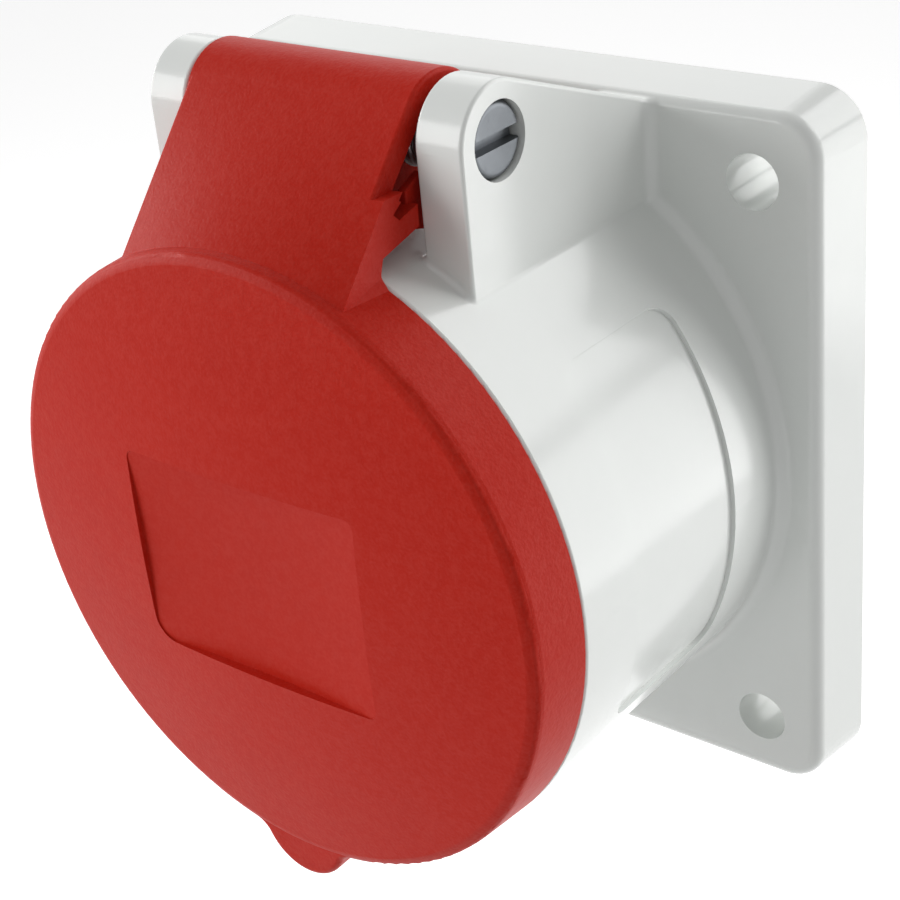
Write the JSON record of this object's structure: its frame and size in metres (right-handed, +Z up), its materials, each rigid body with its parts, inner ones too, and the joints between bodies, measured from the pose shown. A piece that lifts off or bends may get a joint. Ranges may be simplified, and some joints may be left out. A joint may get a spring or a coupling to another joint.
{
  "type": "industrial panel socket",
  "caption": "Round five-pole industrial socket-outlet on a square flange, with a sprung hinged lid.",
  "frame": {"origin": "centre of the flange's back face, on the panel", "axes": "-Y out of the panel to the front, +Z up towards the hinge, +X to the right seen from the front"},
  "size_m": [0.075, 0.067, 0.0828],
  "materials": {
    "housing_grey": "gloss",
    "lid_red": "fine grain",
    "insert_plastic": "satin",
    "seal_rubber": "matt",
    "brass": "turned",
    "bright_steel": "plated",
    "spring_steel": "drawn wire"
  },
  "bodies": {
    "root": {"housing": "housing_grey", "hinge_pin": "bright_steel", "lid_spring": "spring_steel", "flange_seal": "seal_rubber", "contact_carrier": "insert_plastic", "terminal_carrier": "insert_plastic", "carrier_screws": "bright_steel", "sleeve_pe": "brass", "sleeve_l1": "brass", "sleeve_l2": "brass", "sleeve_l3": "brass", "sleeve_n": "brass", "grip_ring_pe": "spring_steel", "grip_ring_l1": "spring_steel", "grip_ring_l2": "spring_steel", "grip_ring_l3": "spring_steel", "grip_ring_n": "spring_steel", "terminal_pe": "brass", "terminal_l1": "brass", "terminal_l2": "brass", "terminal_l3": "brass", "terminal_n": "brass", "terminal_screw_pe": "bright_steel", "terminal_screw_l1": "bright_steel", "terminal_screw_l2": "bright_steel", "terminal_screw_l3": "bright_steel", "terminal_screw_n": "bright_steel"},
    "lid": {"lid": "lid_red", "lid_seal": "seal_rubber"}
  },
  "joints": [
    {"name": "lid_hinge", "type": "hinge", "parent": "root", "child": "lid", "pos_m": [0, -0.0306, 0.0397], "axis": [-1, 0, 0], "range_deg": [0, 120], "stiffness_Nm_per_rad": 0.018, "springref_deg": -85.94, "deforming": ["lid_spring"]}
  ]
}
